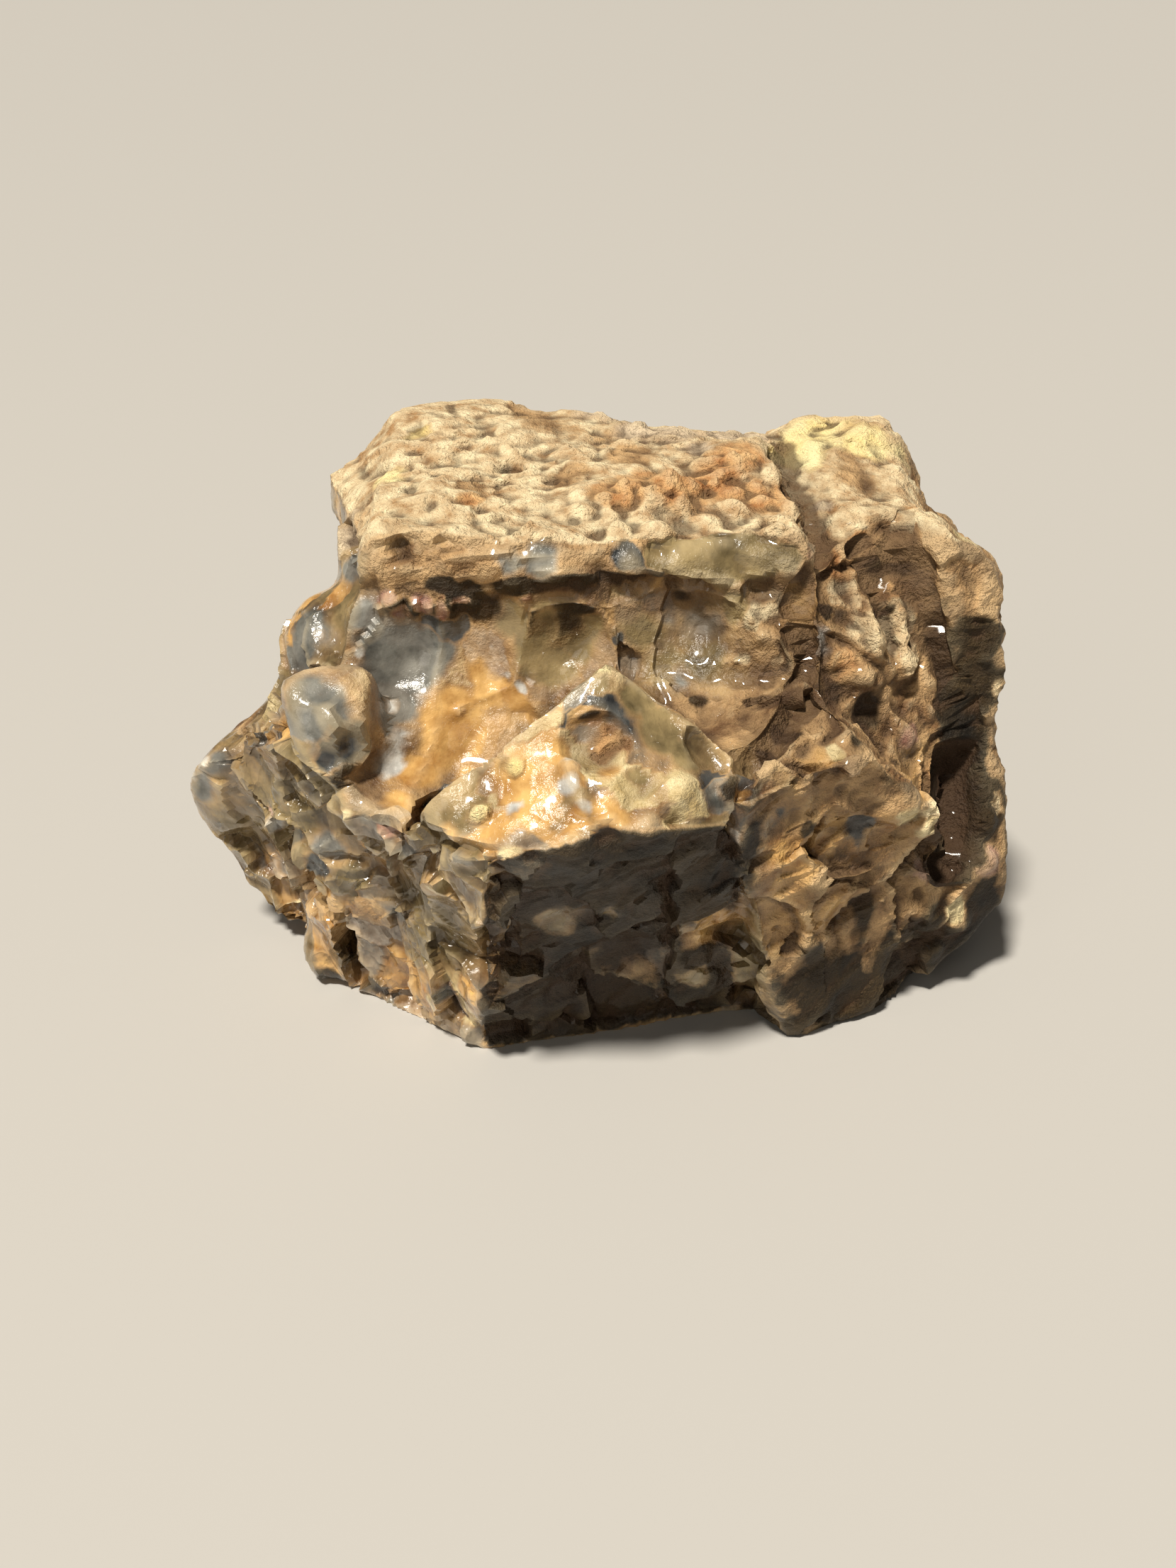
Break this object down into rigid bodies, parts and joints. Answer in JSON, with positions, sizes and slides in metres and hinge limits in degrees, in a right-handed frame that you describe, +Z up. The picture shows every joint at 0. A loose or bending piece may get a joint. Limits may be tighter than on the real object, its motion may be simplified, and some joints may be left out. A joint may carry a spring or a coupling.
{
  "type": "rough agate stone",
  "caption": "Rough broken block of jasper and agate with a sandy crust, a conchoidal hollow and a pointed glassy prow, resting on a flat underside.",
  "frame": {"origin": "the middle of the stone's box, on the surface it rests on", "axes": "+X to the stone's right, along its longest side; +Y to its back; +Z up"},
  "size_m": [0.1526, 0.1106, 0.097],
  "materials": {
    "agate_rock": "rough sandy crust above glassy broken agate, amber, olive and blue-gray"
  },
  "bodies": {
    "root": {"agate_stone": "agate_rock"}
  },
  "joints": []
}
